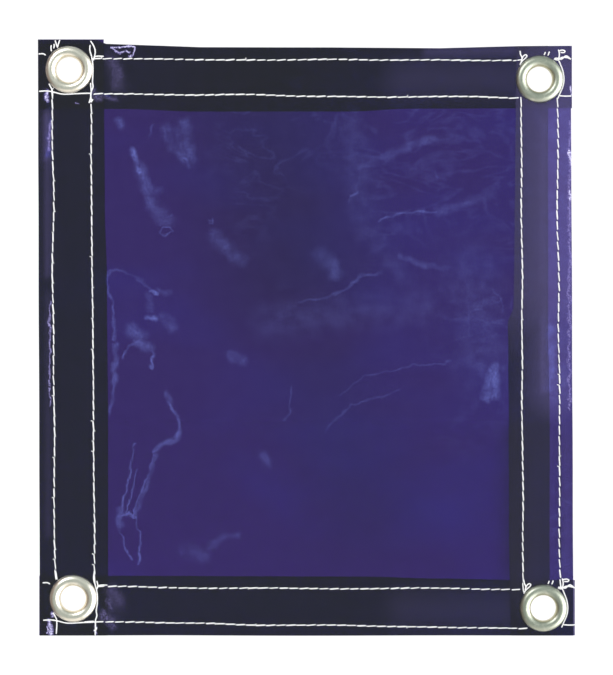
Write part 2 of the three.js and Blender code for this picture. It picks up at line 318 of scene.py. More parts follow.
# ---- Colours, nodes and meshes


def linear(hex_colour):
    """An sRGB hex colour as the linear RGBA that shaders take."""
    channels = [int(hex_colour[i : i + 2], 16) / 255 for i in (1, 3, 5)]
    return [c / 12.92 if c <= 0.04045 else ((c + 0.055) / 1.055) ** 2.4 for c in channels] + [1.0]


def add_node(tree, kind, inputs=None, **settings):
    """Adds a node with its settings, its input values and its links. An input given as a node
    is linked to that node's first output in use."""
    made = tree.nodes.new(kind)
    for name, value in settings.items():
        setattr(made, name, value)
    for socket, value in (inputs or {}).items():
        if isinstance(value, bpy.types.Node):
            value = next(output for output in value.outputs if output.enabled)
        if isinstance(value, bpy.types.NodeSocket):
            tree.links.new(value, made.inputs[socket])
        else:
            made.inputs[socket].default_value = value
    return made


def new_material(name):
    """An empty material with its Principled shader joined to the output."""
    material = bpy.data.materials.new(name)
    material.use_nodes = True
    tree = material.node_tree
    tree.nodes.clear()
    shader = add_node(tree, "ShaderNodeBsdfPrincipled")
    add_node(tree, "ShaderNodeOutputMaterial", {"Surface": shader})
    return material, tree, shader


def finish_piece(piece, material, slot, *nodes):
    """Gives a piece its material and its place in the frame."""
    piece.data.materials.clear()
    piece.data.materials.append(material)
    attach(piece, "root")
    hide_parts(*nodes)


def select_only(piece):
    bpy.ops.object.select_all(action="DESELECT")
    piece.select_set(True)
    bpy.context.view_layer.objects.active = piece


def smooth_step(low, high, value):
    t = min(max((value - low) / (high - low), 0), 1)
    return t * t * (3 - 2 * t)


# ---- Places, read from the frame


def middle(node):
    low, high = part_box(node)
    return (low + high) / 2


HOLES = {corner: middle(f"grommet_eyelet_{corner}") for corner in CORNERS}
FLANGE_LOW, FLANGE_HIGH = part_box("grommet_eyelet_top_left")
FLANGE_RADIUS = (FLANGE_HIGH.x - FLANGE_LOW.x) / 2
BORE_RADIUS = 6.35 * MM
PUNCH_RADIUS = 7.25 * MM
WASHER_LOW, WASHER_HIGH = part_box("grommet_washer_top_left")
WASHER_RADIUS = (WASHER_HIGH.x - WASHER_LOW.x) / 2
FILM_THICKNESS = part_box("curtain_sheet")[1].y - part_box("curtain_sheet")[0].y
STRIP_LEVEL = middle("hem_strip_top").y
HEM_FACE = STRIP_LEVEL + FILM_THICKNESS / 2
THREAD_RADIUS = (
    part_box("needle_thread_left_outer")[1].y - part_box("needle_thread_left_outer")[0].y
) / 2


def outline(node):
    """A flat ply's four corners as (x, z), from the bottom left round to the top left."""
    places = [(v.co.x, v.co.z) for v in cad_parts[node].data.vertices]
    turns = ((-1, -1), (1, -1), (1, 1), (-1, 1))
    return [max(places, key=lambda p: sx * p[0] + sz * p[1]) for sx, sz in turns]


def seam_ends(node):
    """The two ends of a seam's rod as (x, z), the lower or left one first."""
    low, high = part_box(node)
    axis = 0 if high.x - low.x > high.z - low.z else 2
    centre = (low[axis] + high[axis]) / 2
    ends = ([], [])
    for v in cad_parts[node].data.vertices:
        ends[v.co[axis] > centre].append(v.co)
    return [
        tuple((min(p[i] for p in end) + max(p[i] for p in end)) / 2 for i in (0, 2))
        for end in ends
    ]


OUTLINES = {
    node: outline(node) for node in ("curtain_sheet", *(f"hem_strip_{side}" for side in SIDES))
}


def across(node, x, z, inward):
    """How far (x, z) lies inside a strip's inner edge. inward says which two corners bound it."""
    (ax, az), (bx, bz) = (OUTLINES[node][i] for i in inward)
    length = math.hypot(bx - ax, bz - az)
    return ((bx - ax) * (z - az) - (bz - az) * (x - ax)) / length


def under_side_strip(x, z):
    """True where a left or right strip covers the front."""
    in_left = across("hem_strip_left", x, z, (1, 2)) > 0
    in_right = across("hem_strip_right", x, z, (3, 0)) > 0
    return in_left or in_right


def behind_level_strip(x, z):
    """True where the top or bottom strip covers the back."""
    in_top = across("hem_strip_top", x, z, (0, 1)) > 0
    in_bottom = across("hem_strip_bottom", x, z, (2, 3)) > 0
    return in_top or in_bottom


# ---- How the film hangs


def stand_off(x, z):
    """How far the hanging film stands off its flat plane, as three waves that cross. It lies
    flat round each grommet."""
    film = bpy.context.scene.curtain_film
    swell = 0.5 * math.sin(2 * math.pi * (x / 0.23 + 0.15))
    swell *= math.cos(2 * math.pi * (z / 0.4 + 0.2))
    swell += 0.32 * math.sin(2 * math.pi * (x + 1.7 * z) / 0.15)
    swell += 0.14 * math.sin(2 * math.pi * (z - 0.6 * x) / 0.085)
    for hole in HOLES.values():
        distance = math.hypot(x - hole.x, z - hole.z)
        swell *= smooth_step(13 * MM, 58 * MM, distance)
    inside = across("hem_strip_right", x, z, (1, 2))
    lip = max(film.lip_width - inside, 0) / film.lip_width
    return film.wave_height * swell + film.lip_height * lip * lip


def flange_rise(x, z):
    """How far a grommet's flange stands above the hem's face at this place."""
    for hole in HOLES.values():
        radius = math.hypot(x - hole.x, z - hole.z)
        share = (2 * radius - FLANGE_RADIUS - BORE_RADIUS) / (FLANGE_RADIUS - BORE_RADIUS)
        if abs(share) < 1:
            height = -HEM_FACE - FLANGE_LOW.y
            return height * math.sqrt(1 - share * share)
    return 0.0


def face_level(x, z, face):
    """The film's surface at this place, on the front (-1) or the back (1)."""
    covered = under_side_strip(x, z) if face < 0 else behind_level_strip(x, z)
    reach = HEM_FACE if covered else FILM_THICKNESS / 2
    return stand_off(x, z) + face * reach


# ---- Materials


def stroke_mask(tree, place, strokes):
    """How strongly the film is marked at a place, from a list of strokes such as CREASE_HIGHLIGHTS."""
    mask = None
    for half_width, strength, points in strokes:
        for (start_x, start_z), (end_x, end_z) in zip(points, points[1:]):
            run = Vector((end_x - start_x, 0, end_z - start_z))
            from_start = add_node(
                tree, "ShaderNodeVectorMath", {0: place, 1: (start_x, 0, start_z)},
                operation="SUBTRACT",
            )
            along = add_node(
                tree, "ShaderNodeVectorMath", {0: from_start, 1: run / run.length_squared},
                operation="DOT_PRODUCT",
            )
            share = add_node(tree, "ShaderNodeClamp", {"Value": along})
            nearest = add_node(
                tree, "ShaderNodeVectorMath", {0: run, "Scale": share}, operation="SCALE"
            )
            distance = add_node(
                tree, "ShaderNodeVectorMath", {0: from_start, 1: nearest}, operation="DISTANCE"
            )
            fade = add_node(
                tree, "ShaderNodeMapRange",
                {"Value": distance, "From Max": half_width, "To Min": strength, "To Max": 0},
                interpolation_type="SMOOTHSTEP",
            )
            if mask is not None:
                fade = add_node(tree, "ShaderNodeMath", {0: mask, 1: fade}, operation="MAXIMUM")
            mask = fade
    return mask


def calendered_vinyl_film():
    """Flexible vinyl, rolled between polished drums and dyed right through: glossy, see-through
    and deep blue-violet, creased by handling, with painted highlights on its creases."""
    film = bpy.context.scene.curtain_film
    material, tree, shader = new_material("calendered_vinyl_film")
    coords = add_node(tree, "ShaderNodeTexCoord")
    in_mm = add_node(
        tree, "ShaderNodeVectorMath", {0: coords.outputs["Object"], 1: (1000, 0, 1000)},
        operation="MULTIPLY",
    )

    # Bands of dye 50 mm wide, slanting as the sheet was drawn, and bluer towards the right.
    slanted = add_node(
        tree, "ShaderNodeMapping",
        {"Vector": in_mm, "Rotation": (0, math.radians(28), 0), "Scale": (0.5, 1, 1)},
    )
    bands = add_node(
        tree, "ShaderNodeTexNoise",
        {"Vector": slanted, "Scale": 1 / 50, "Detail": 2, "Roughness": 0.6},
    )
    parts = add_node(tree, "ShaderNodeSeparateXYZ", {"Vector": in_mm}).outputs
    bluer_right = add_node(
        tree, "ShaderNodeMath", {0: parts["X"], 1: 1 / 1400, 2: bands}, operation="MULTIPLY_ADD"
    )
    band_mix = add_node(
        tree, "ShaderNodeMapRange",
        {"Value": bluer_right, "From Min": 0.44, "From Max": 0.72, "To Max": 0.42},
    )
    dye = add_node(
        tree, "ShaderNodeMix",
        {"Factor": band_mix, "A": (*film.violet_dye, 1), "B": (*film.blue_dye, 1)},
        data_type="RGBA",
    )
    # Darker patches, with a painted shadow beside the right strip's inner edge.
    darker_and_shade = stroke_mask(tree, in_mm, DARKER_PATCHES_AND_SHADE)
    dye = add_node(
        tree, "ShaderNodeMix", {"Factor": darker_and_shade, "A": dye, "B": linear("#000000")},
        data_type="RGBA",
    )

    # Fine creases from rolling, about 14 mm apart, mostly towards the upper right.
    rolled = add_node(
        tree, "ShaderNodeTexNoise",
        {"Vector": slanted, "Scale": 1 / 14, "Detail": 3, "Roughness": 0.55, "Distortion": 0.9},
    )
    off_ridge = add_node(tree, "ShaderNodeMath", {0: rolled, 1: 0.5}, operation="SUBTRACT")
    from_ridge = add_node(tree, "ShaderNodeMath", {0: off_ridge}, operation="ABSOLUTE")
    ridge = add_node(
        tree, "ShaderNodeMapRange",
        {"Value": from_ridge, "From Max": 0.05, "To Min": 0.09, "To Max": 0},
        interpolation_type="SMOOTHSTEP",
    )
    spread = add_node(tree, "ShaderNodeTexNoise", {"Vector": in_mm, "Scale": 1 / 70, "Detail": 1})
    rightward = add_node(
        tree, "ShaderNodeMath", {0: parts["X"], 1: 1 / 350, 2: spread}, operation="MULTIPLY_ADD"
    )
    upward = add_node(
        tree, "ShaderNodeMath", {0: parts["Z"], 1: 1 / 500, 2: rightward}, operation="MULTIPLY_ADD"
    )
    rolled_here = add_node(
        tree, "ShaderNodeMapRange", {"Value": upward, "From Min": 0.36, "From Max": 0.56}
    )
    ridges = add_node(tree, "ShaderNodeMath", {0: ridge, 1: rolled_here}, operation="MULTIPLY")

    # The strokes are broken up by shifting where they are looked up, and into specks 1 mm wide
    # and patches 7 mm wide.
    shift = add_node(tree, "ShaderNodeTexNoise", {"Vector": in_mm, "Scale": 1 / 5, "Detail": 3})
    centred = add_node(
        tree, "ShaderNodeVectorMath", {0: shift.outputs["Color"], 1: (0.5, 0.5, 0.5)},
        operation="SUBTRACT",
    )
    shifted = add_node(
        tree, "ShaderNodeVectorMath", {0: centred, 1: (5, 0, 5), 2: in_mm},
        operation="MULTIPLY_ADD",
    )
    specks = add_node(
        tree, "ShaderNodeTexNoise",
        {"Vector": in_mm, "Scale": 1 / 0.9, "Detail": 2, "Roughness": 0.7},
    )
    broken = add_node(
        tree, "ShaderNodeMapRange",
        {"Value": specks, "From Min": 0.35, "From Max": 0.65, "To Min": 0.45, "To Max": 1.2},
    )
    creases = stroke_mask(tree, shifted, CREASE_HIGHLIGHTS)
    # The creases and rolling ridges are painted pale: painted highlights where they catch the
    # light.
    marked = add_node(
        tree, "ShaderNodeMath", {0: creases, 1: 0.72, 2: ridges}, operation="MULTIPLY_ADD"
    )
    # Painted light along the strips' outer edges and faint pale patches on the sheet, read from
    # the ply.
    haze_and_highlight = add_node(tree, "ShaderNodeAttribute", attribute_name="haze_and_highlight").outputs["Fac"]
    hazed_and_highlighted = add_node(
        tree, "ShaderNodeMath", {0: haze_and_highlight, 1: 0.10, 2: marked}, operation="MULTIPLY_ADD"
    )
    dust_and_highlights = add_node(tree, "ShaderNodeMath", {0: hazed_and_highlighted, 1: 0.01}, operation="ADD")
    patches = add_node(tree, "ShaderNodeTexNoise", {"Vector": in_mm, "Scale": 1 / 7, "Detail": 2})
    patchy = add_node(
        tree, "ShaderNodeMapRange",
        {"Value": patches, "From Min": 0.36, "From Max": 0.62, "To Min": 0.45, "To Max": 1.2},
    )
    uneven = add_node(tree, "ShaderNodeMath", {0: patchy, 1: broken}, operation="MULTIPLY")

    # The painted highlights on the creases and rolling ridges, the painted light along the strips
    # and a faint even dust pale the dye.
    creased_and_highlighted = add_node(
        tree, "ShaderNodeMath", {0: dust_and_highlights, 1: uneven}, operation="MULTIPLY", use_clamp=True
    )
    tint = add_node(
        tree, "ShaderNodeMix", {"Factor": creased_and_highlighted, "A": dye, "B": (*film.crease_tint, 1)},
        data_type="RGBA",
    )
    tree.links.new(tint.outputs["Result"], shader.inputs["Base Color"])

    # Orange peel from the drums, 4 mm across, and the rolling creases' slight height.
    peel = add_node(tree, "ShaderNodeTexNoise", {"Vector": in_mm, "Scale": 1 / 4, "Detail": 1})
    relief = add_node(
        tree, "ShaderNodeMath", {0: ridges, 1: 2, 2: peel}, operation="MULTIPLY_ADD"
    )
    bump = add_node(
        tree, "ShaderNodeBump", {"Strength": 0.3, "Distance": 0.2 * MM, "Height": relief}
    )
    tree.links.new(bump.outputs["Normal"], shader.inputs["Normal"])
    shader.inputs["Transmission Weight"].default_value = 1.0
    shader.inputs["IOR"].default_value = 1.53
    shader.inputs["Roughness"].default_value = 0.04

    # A white matt layer over the gloss: scuffs and dust, with painted glints and painted
    # highlights along the edges and painted light along the strips' outer edges.
    flecks = add_node(
        tree, "ShaderNodeMapRange",
        {"Value": specks, "From Min": 0.40, "From Max": 0.60, "To Min": 0.15, "To Max": 1.4},
    )
    # White marks: scuffs, with painted glints and painted highlights along the edges.
    scuff_and_glint_strokes = stroke_mask(tree, shifted, SCUFFS_AND_GLINTS)
    scuff_and_glint = add_node(
        tree, "ShaderNodeMath", {0: scuff_and_glint_strokes, 1: flecks}, operation="MULTIPLY", use_clamp=True
    )
    highlight_and_scuff_colour = add_node(
        tree, "ShaderNodeMix",
        {"Factor": scuff_and_glint, "A": (*film.haze_colour, 1), "B": (*film.scuff_colour, 1)},
        data_type="RGBA",
    )
    scuffed_and_highlighted = add_node(
        tree, "ShaderNodeBsdfPrincipled", {"Base Color": highlight_and_scuff_colour, "Roughness": 0.55}
    )
    dust_and_glints = add_node(
        tree, "ShaderNodeMath", {0: uneven, 1: 0.004, 2: scuff_and_glint}, operation="MULTIPLY_ADD"
    )
    scuffed_dusty_and_highlighted = add_node(
        tree, "ShaderNodeMath", {0: haze_and_highlight, 1: 0.10, 2: dust_and_glints}, operation="MULTIPLY_ADD",
        use_clamp=True,
    )
    surface = add_node(tree, "ShaderNodeMixShader", {0: scuffed_dusty_and_highlighted, 1: shader, 2: scuffed_and_highlighted})
    output = next(n for n in tree.nodes if n.type == "OUTPUT_MATERIAL")
    tree.links.new(surface.outputs["Shader"], output.inputs["Surface"])
    return material


def twisted_polyester_thread():
    """Bonded polyester, three plies twisted together: white and matt, with fine slanting
    grooves between the plies."""
    seams = bpy.context.scene.curtain_seams
    material, tree, shader = new_material("twisted_polyester_thread")
    strand = add_node(tree, "ShaderNodeAttribute", attribute_name="strand").outputs["Vector"]
    parts = add_node(tree, "ShaderNodeSeparateXYZ", {"Vector": strand}).outputs
    turn = add_node(tree, "ShaderNodeMath", {0: parts["Y"], 1: parts["X"]}, operation="ARCTAN2")
    # The plies make one turn in 2.4 mm. Strand's Z is the distance along the thread in mm.
    slant = add_node(
        tree, "ShaderNodeMath", {0: parts["Z"], 1: 2 * math.pi / 2.4}, operation="MULTIPLY"
    )
    phase = add_node(tree, "ShaderNodeMath", {0: turn, 1: slant}, operation="ADD")
    # Three plies, each half a wave of the sine's size.
    plies = add_node(tree, "ShaderNodeMath", {0: phase, 1: 3 / 2}, operation="MULTIPLY")
    wave = add_node(tree, "ShaderNodeMath", {0: plies}, operation="SINE")
    round_ply = add_node(tree, "ShaderNodeMath", {0: wave}, operation="ABSOLUTE")
    # The grooves between the plies are painted darker: painted shade.
    groove_shade = add_node(tree, "ShaderNodeMapRange", {"Value": round_ply, "From Max": 0.7})
    colour = add_node(
        tree, "ShaderNodeMix",
        {"Factor": groove_shade, "A": (*seams.groove_colour, 1), "B": (*seams.thread_colour, 1)},
        data_type="RGBA",
    )
    tree.links.new(colour.outputs["Result"], shader.inputs["Base Color"])
    bump = add_node(
        tree, "ShaderNodeBump", {"Strength": 0.6, "Distance": 0.1 * MM, "Height": round_ply}
    )
    tree.links.new(bump.outputs["Normal"], shader.inputs["Normal"])
    shader.inputs["Roughness"].default_value = 0.62
    shader.inputs["Sheen Weight"].default_value = 0.25
    return material


def dulled_and_shaded_nickel_plate():
    """Brass stamped to shape and barrel plated with nickel: a warm grey mirror, softened by
    handling, and thin enough inside the barrel for the brass to warm it."""
    grommets = bpy.context.scene.curtain_grommets
    material, tree, shader = new_material("dulled_and_shaded_nickel_plate")
    coords = add_node(tree, "ShaderNodeTexCoord").outputs["Object"]
    tarnish = add_node(
        tree, "ShaderNodeTexNoise", {"Vector": coords, "Scale": 1 / (3.5 * MM), "Detail": 4}
    )
    # The right-hand grommets are painted duller and darker than the left-hand ones: painted shade,
    # as less light falls on them.
    parts = add_node(tree, "ShaderNodeSeparateXYZ", {"Vector": coords}).outputs
    right_pair_shade = add_node(
        tree, "ShaderNodeMapRange",
        {"Value": parts["X"], "From Min": -50 * MM, "From Max": 50 * MM,
         "To Min": -0.14, "To Max": 0.36},
    )
    dulled_and_shaded = add_node(tree, "ShaderNodeMath", {0: tarnish, 1: right_pair_shade}, operation="ADD")
    tarnish_and_shade_mix = add_node(
        tree, "ShaderNodeMapRange", {"Value": dulled_and_shaded, "From Min": 0.40, "From Max": 0.80}
    )
    plated = add_node(
        tree, "ShaderNodeMix",
        {"Factor": tarnish_and_shade_mix, "A": (*grommets.nickel_colour, 1),
         "B": (*grommets.tarnish_colour, 1)},
        data_type="RGBA",
    )
    barrel = add_node(tree, "ShaderNodeAttribute", attribute_name="barrel").outputs["Fac"]
    thin_plate = add_node(tree, "ShaderNodeMath", {0: barrel, 1: 0.35}, operation="MULTIPLY")
    colour = add_node(
        tree, "ShaderNodeMix",
        {"Factor": thin_plate, "A": plated, "B": (*grommets.brass_colour, 1)},
        data_type="RGBA",
    )
    tree.links.new(colour.outputs["Result"], shader.inputs["Base Color"])
    rough = add_node(
        tree, "ShaderNodeMapRange",
        {"Value": dulled_and_shaded, "From Min": 0.2, "From Max": 0.8, "To Min": 0.28, "To Max": 0.38},
    )
    tree.links.new(rough.outputs["Result"], shader.inputs["Roughness"])
    # Handling scratches, drawn 0.6 mm wide because real ones are too fine to show.
    scratches = add_node(
        tree, "ShaderNodeTexNoise", {"Vector": coords, "Scale": 1 / (0.6 * MM), "Detail": 3}
    )
    bump = add_node(
        tree, "ShaderNodeBump", {"Strength": 0.12, "Distance": 0.1 * MM, "Height": scratches}
    )
    tree.links.new(bump.outputs["Normal"], shader.inputs["Normal"])
    shader.inputs["Metallic"].default_value = 1.0
    return material


def material_for(maker):
    """The material that a maker makes, made once."""
    return bpy.data.materials.get(maker.__name__) or maker()


# ---- Film


def top_edge(x):
    """The height of the panel's top edge at x."""
    for (x0, z0), (x1, z1) in zip(TOP_EDGE, TOP_EDGE[1:]):
        if x / MM <= x1:
            share = max((x / MM - x0) / (x1 - x0), 0)
            return (z0 + (z1 - z0) * share) * MM
    return TOP_EDGE[-1][1] * MM


def stray(side, share):
    """How far an edge strays from a straight cut at a share of its length."""
    for (s0, d0), (s1, d1) in zip(EDGE_STRAYS[side], EDGE_STRAYS[side][1:]):
        if share <= s1:
            return (d0 + (d1 - d0) * smooth_step(s0, s1, share)) * MM
    return EDGE_STRAYS[side][-1][1] * MM


def stroke_strength(strokes, x, z):
    """The strongest of a list of strokes at a place in millimetres."""
    strongest = 0.0
    for half_width, strength, points in strokes:
        for (x0, z0), (x1, z1) in zip(points, points[1:]):
            run_x, run_z = x1 - x0, z1 - z0
            t = ((x - x0) * run_x + (z - z0) * run_z) / (run_x ** 2 + run_z ** 2)
            t = min(max(t, 0), 1)
            distance = math.hypot(x - x0 - t * run_x, z - z0 - t * run_z)
            strongest = max(strongest, strength * (1 - smooth_step(0, half_width, distance)))
    return min(strongest, 1.0)


def hole_punch():
    """One cutter with a round bar through each grommet's place."""
    bpy.ops.object.select_all(action="DESELECT")
    bars = []
    for hole in HOLES.values():
        bpy.ops.mesh.primitive_cylinder_add(
            vertices=48, radius=PUNCH_RADIUS, depth=20 * MM,
            location=(hole.x, 0, hole.z), rotation=(math.pi / 2, 0, 0),
        )
        bars.append(bpy.context.object)
    for bar in bars:
        bar.select_set(True)
    bpy.ops.object.join()
    return bpy.context.object


def film_ply(name, node, step):
    """A ply of film with the node's outline, hung in gentle waves and punched for the grommets."""
    bottom_left, bottom_right, top_right, top_left = OUTLINES[node]
    level = middle(node).y
    wide = max(bottom_right[0] - bottom_left[0], top_right[0] - top_left[0])
    tall = max(top_left[1] - bottom_left[1], top_right[1] - bottom_right[1])
    bpy.ops.object.select_all(action="DESELECT")
    bpy.ops.mesh.primitive_grid_add(
        x_subdivisions=round(wide / step), y_subdivisions=round(tall / step), size=1
    )
    ply = bpy.context.object
    ply.name = name
    ply.data.name = name
    for v in ply.data.vertices:
        u, w = v.co.x + 0.5, v.co.y + 0.5
        low = [bottom_left[i] * (1 - u) + bottom_right[i] * u for i in (0, 1)]
        high = [top_left[i] * (1 - u) + top_right[i] * u for i in (0, 1)]
        if node == "curtain_sheet":
            high[1] = top_edge(high[0])
        elif node == "hem_strip_top":
            high[1] = min(top_edge(high[0]), TOP_STRIP_END)
        x, z = (low[i] * (1 - w) + high[i] * w for i in (0, 1))
        if node == "curtain_sheet":
            x += u * stray("sheet", w)
        elif node == "hem_strip_left":
            x += u * stray("left", w)
        elif node == "hem_strip_right":
            x -= (1 - u) * stray("right", w)
        elif node == "hem_strip_top":
            z -= (1 - w) * stray("top", u)
        elif node == "hem_strip_bottom":
            z += w * stray("bottom", u)
        v.co = (x, stand_off(x, z) + level, z)
    select_only(ply)
    solidify = ply.modifiers.new("thickness", "SOLIDIFY")
    solidify.thickness = FILM_THICKNESS
    solidify.offset = 0
    bpy.ops.object.modifier_apply(modifier=solidify.name)
    punch = hole_punch()
    select_only(ply)
    cut = ply.modifiers.new("grommet_holes", "BOOLEAN")
    cut.object = punch
    cut.operation = "DIFFERENCE"
    bpy.ops.object.modifier_apply(modifier=cut.name)
    bpy.data.objects.remove(punch)
    bpy.ops.object.shade_smooth_by_angle(angle=math.radians(40))
    # Where the plies are painted pale: painted light along the strips' outer edges, faint patches
    # on the sheet.
    haze_and_highlight = ply.data.attributes.new("haze_and_highlight", "FLOAT", "POINT")
    for v, mark in zip(ply.data.vertices, haze_and_highlight.data):
        mark.value = stroke_strength(HAZES_AND_HIGHLIGHTS.get(node, ()), v.co.x / MM, v.co.z / MM)
    finish_piece(ply, material_for(calendered_vinyl_film), "film", node)
    return ply


# ---- Thread


class ThreadMesh:
    """Collects tubes of thread that share one mesh."""

    def __init__(self):
        self.points = []
        self.faces = []
        self.strands = []

    def add(self, path, radii, sides):
        """A closed tube along a path of vectors, with a radius for each."""
        first = len(self.points)
        length = 0.0
        normal = Vector((0, -1, 0))
        for i, centre in enumerate(path):
            ahead = (path[min(i + 1, len(path) - 1)] - path[max(i - 1, 0)]).normalized()
            length += (centre - path[i - 1]).length if i else 0.0
            side = ahead.cross(normal).normalized()
            normal = side.cross(ahead).normalized()
            for k in range(sides):
                angle = 2 * math.pi * k / sides
                c, s = math.cos(angle), math.sin(angle)
                self.points.append(centre + radii[i] * (c * side + s * normal))
                self.strands.append((c, s, length / MM))
        for i in range(len(path) - 1):
            for k in range(sides):
                a = first + i * sides + k
                b = first + i * sides + (k + 1) % sides
                self.faces.append((a, b, b + sides, a + sides))
        last = first + (len(path) - 1) * sides
        self.faces.append(tuple(range(first + sides - 1, first - 1, -1)))
        self.faces.append(tuple(range(last, last + sides)))

    def build(self, name):
        mesh = bpy.data.meshes.new(name)
        mesh.from_pydata(self.points, [], self.faces)
        strand = mesh.attributes.new("strand", "FLOAT_VECTOR", "POINT")
        strand.data.foreach_set("vector", [value for place in self.strands for value in place])
        piece = bpy.data.objects.new(name, mesh)
        bpy.context.scene.collection.objects.link(piece)
        select_only(piece)
        bpy.ops.object.mode_set(mode="EDIT")
        bpy.ops.mesh.select_all(action="SELECT")
        bpy.ops.mesh.normals_make_consistent(inside=False)
        bpy.ops.object.mode_set(mode="OBJECT")
        bpy.ops.object.shade_smooth_by_angle(angle=math.radians(50))
        return piece


def add_stitch(thread, start, end, face, radius):
    """One stitch from hole to hole, arched over the film and sunk into it at both ends."""
    rings = 8
    path = []
    radii = []
    for i in range(rings + 1):
        t = i / rings
        x = start[0] + (end[0] - start[0]) * t
        z = start[1] + (end[1] - start[1]) * t
        lift = min(1.0, 2.6 * math.sin(math.pi * t)) * 1.9 * radius - radius
        path.append(Vector((x, face_level(x, z, face) + face * lift, z)))
        radii.append(radius * (0.72 + 0.28 * min(1.0, 3 * math.sin(math.pi * t))))
    thread.add(path, radii, 8)


def add_pip(thread, start, end, face):
    """A pip of thread from the far side, drawn up beside a needle hole."""
    rings = 4
    path = []
    for i in range(rings + 1):
        t = i / rings
        x, z = (start[a] + (end[a] - start[a]) * t for a in (0, 1))
        lift = (0.2 + math.sin(math.pi * t)) * THREAD_RADIUS * 0.7
        path.append(Vector((x, face_level(x, z, face) + face * lift, z)))
    thread.add(path, [0.55 * THREAD_RADIUS] * len(path), 6)


def add_seam(thread, ends, face, gap, pip_share, seed):
    """A row of stitches along a seam, each a little out of line as hand-fed film leaves them."""
    seams = bpy.context.scene.curtain_seams
    rng = random.Random(seed)
    (ax, az), (bx, bz) = ends
    length = math.hypot(bx - ax, bz - az)
    count = max(round(length / seams.stitch_pitch), 1)
    run = ((bx - ax) / length, (bz - az) / length)
    side = (-run[1], run[0])

    def place(distance, sideways):
        # The row drifts over about 35 mm, and keeps to its line at both ends.
        drift = seams.wander * noise.noise(Vector((distance / 0.035, seed * 7.3, 0)))
        shift = drift * smooth_step(0, 0.02, min(distance, length - distance)) + sideways
        return tuple((ax, az)[i] + run[i] * distance + side[i] * shift for i in (0, 1))

    for i in range(count):
        low = length * i / count + gap / 2 + rng.uniform(-0.2, 0.2) * MM
        high = length * (i + 1) / count - gap / 2 + rng.uniform(-0.2, 0.2) * MM
        tilt = seams.stitch_tilt * (1 + rng.uniform(-0.5, 0.5)) / 2
        radius = THREAD_RADIUS * rng.uniform(0.70, 0.92)
        add_stitch(thread, place(low, -tilt), place(high, tilt), face, radius)
        if rng.random() < pip_share:
            side_way = rng.choice((-1, 1)) * rng.uniform(0.6, 1.0) * MM
            add_pip(thread, place(high, tilt), place(high + 0.2 * MM, tilt + side_way), face)


def smooth_path(points, steps=6):
    """Points on a smooth curve through the given (x, z) points."""
    padded = [points[0], *points, points[-1]]
    curve = []
    for i in range(1, len(padded) - 2):
        p0, p1, p2, p3 = padded[i - 1 : i + 3]
        for k in range(steps):
            t = k / steps
            curve.append(tuple(
                0.5 * (2 * p1[a] + (p2[a] - p0[a]) * t
                       + (2 * p0[a] - 5 * p1[a] + 4 * p2[a] - p3[a]) * t * t
                       + (3 * p1[a] - p0[a] - 3 * p2[a] + p3[a]) * t ** 3)
                for a in (0, 1)
            ))
    return [*curve, points[-1]]


def add_loose_end(thread, corner, points):
    """A loose end of thread lying on the hem or over the flange's rim."""
    hole = HOLES[corner]
    flat = [(hole.x + x * MM, hole.z + z * MM) for x, z in smooth_path(points)]
    path = []
    for i, (x, z) in enumerate(flat):
        t = i / (len(flat) - 1)
        sink = 1.4 * THREAD_RADIUS * (1 - min(1.0, 12 * min(t, 1 - t)))
        rise = flange_rise(x, z) + 0.9 * THREAD_RADIUS - sink
        path.append(Vector((x, face_level(x, z, -1) - rise, z)))
    thread.add(path, [0.85 * THREAD_RADIUS] * len(path), 8)


def loose_ends(side, row):
    """The (corner, points) of each loose end that belongs to a seam row."""
    found = []
    for corner in CORNERS:
        level, flank = corner.split("_")
        ends = THREAD_ENDS[corner]
        if side == flank:
            key = f"side_{row}"
        elif side == level:
            key = "level_upper" if (level == "top") == (row == "outer") else "level_lower"
        else:
            continue
        found += [(corner, points) for points in ends[key]]
    return found


def seam_piece(side, row, kind, face):
    """The thread of one seam row on one face of the panel."""
    node = f"{kind}_thread_{side}_{row}"
    thread = ThreadMesh()
    seed = 1 + SIDES.index(side) * 4 + ROWS.index(row) * 2 + (face > 0)
    pip_share = 0.35 if side == "left" else 0.05
    seams = bpy.context.scene.curtain_seams
    gap = seams.stitch_gap if (side, row) in OPEN_ROWS else seams.tight_gap
    add_seam(thread, seam_ends(node), face, gap, pip_share, seed)
    if face < 0:
        for corner, points in loose_ends(side, row):
            add_loose_end(thread, corner, points)
    piece = thread.build(f"{kind}_stitches_{side}_{row}")
    finish_piece(piece, material_for(twisted_polyester_thread), "thread", node)
    return piece


# ---- Grommets


def arch(rim, bore, height, level, direction, steps):
    """(radius, depth) points over half an ellipse from rim to bore."""
    centre, half = (rim + bore) / 2, (rim - bore) / 2
    return [
        (
            centre + half * math.cos(math.pi * i / steps),
            direction * (level + height * math.sin(math.pi * i / steps)),
        )
        for i in range(steps + 1)
    ]


